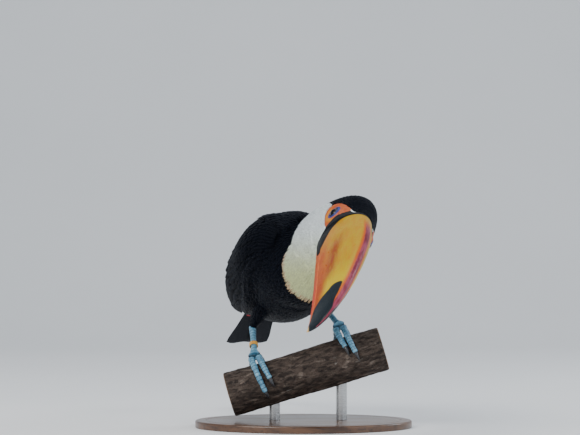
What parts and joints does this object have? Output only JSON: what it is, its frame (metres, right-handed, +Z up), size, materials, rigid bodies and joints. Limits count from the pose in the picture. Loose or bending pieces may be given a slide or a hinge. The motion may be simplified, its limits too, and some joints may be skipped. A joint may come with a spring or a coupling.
{
  "type": "toucan perched on a branch",
  "caption": "Life-size still model of a toco toucan with a huge bill, leaning forward over a short cut branch on a plain oval stand.",
  "frame": {"origin": "middle of the stand's flat underside", "axes": "+Z up; the bird faces -Y with its left side towards +X; the branch climbs towards +X in the plane Y = 0"},
  "size_m": [0.24, 0.5753, 0.2558],
  "materials": {
    "black_plumage": "blue-black overlapping feathers with a soft sheen",
    "white_plumage": "short dense white and cream feathers",
    "yellow_bill": "satin horn, yellow shading to orange, black at base and tip",
    "orange_bill": "satin horn, orange-red, mottled",
    "dark_eye": "wet gloss",
    "blue_grey_skin": "scaled blue-grey bare skin",
    "dark_horn": "worn dark horn",
    "ring_plastic": "plain orange-yellow band",
    "bark": "rough dark bark, cut wood at the ends",
    "stand_wood": "dark satin lacquer",
    "stand_steel": "brushed"
  },
  "bodies": {
    "root": {"trunk": "black_plumage", "neck": "white_plumage", "head": "black_plumage", "bill_upper": "yellow_bill", "bill_lower": "orange_bill", "eye_left": "dark_eye", "eye_right": "dark_eye", "wing_left": "black_plumage", "wing_right": "black_plumage", "tail": "black_plumage", "thigh_left": "black_plumage", "thigh_right": "black_plumage", "shank_left": "blue_grey_skin", "shank_right": "blue_grey_skin", "toe_left_1": "blue_grey_skin", "toe_left_2": "blue_grey_skin", "toe_left_3": "blue_grey_skin", "toe_left_4": "blue_grey_skin", "toe_right_1": "blue_grey_skin", "toe_right_2": "blue_grey_skin", "toe_right_3": "blue_grey_skin", "toe_right_4": "blue_grey_skin", "claw_left_1": "dark_horn", "claw_left_2": "dark_horn", "claw_left_3": "dark_horn", "claw_left_4": "dark_horn", "claw_right_1": "dark_horn", "claw_right_2": "dark_horn", "claw_right_3": "dark_horn", "claw_right_4": "dark_horn", "leg_ring": "ring_plastic", "perch": "bark", "stand_base": "stand_wood", "stand_rod_1": "stand_steel", "stand_rod_2": "stand_steel"}
  },
  "joints": []
}
